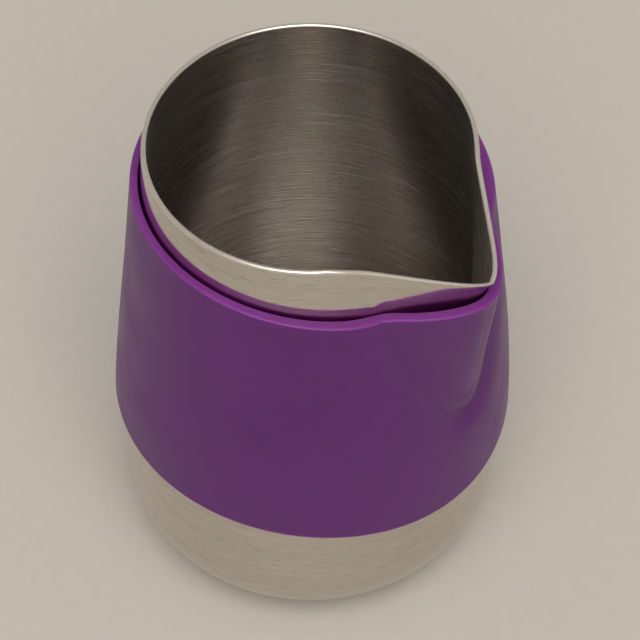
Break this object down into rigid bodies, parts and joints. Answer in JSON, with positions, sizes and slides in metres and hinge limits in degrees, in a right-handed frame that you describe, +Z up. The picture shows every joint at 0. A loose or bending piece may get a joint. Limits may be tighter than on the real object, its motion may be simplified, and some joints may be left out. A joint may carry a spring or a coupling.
{
  "type": "milk frothing pitcher",
  "caption": "Handleless tapered milk frothing jug of thin steel with a pressed pouring spout in its dipped rim and a soft stretch-on grip sleeve.",
  "frame": {"origin": "centre of the round flat underside, at table height", "axes": "+Z up along the jug's axis, +X towards the pouring spout, +Y to the spout's left seen from above with the spout pointing right"},
  "size_m": [0.0868, 0.0834, 0.112],
  "materials": {
    "steel": "fine brushed stainless steel outside and inside, polished rim",
    "silicone": "satin moulded silicone, purple"
  },
  "bodies": {
    "jug": {"jug_body": "steel"},
    "sleeve": {"grip_sleeve": "silicone"}
  },
  "joints": [
    {"name": "sleeve_lift", "type": "slide", "parent": "jug", "child": "sleeve", "axis": [0, 0, 1], "range_m": [0, 0.085], "deforming": ["grip_sleeve"]}
  ]
}
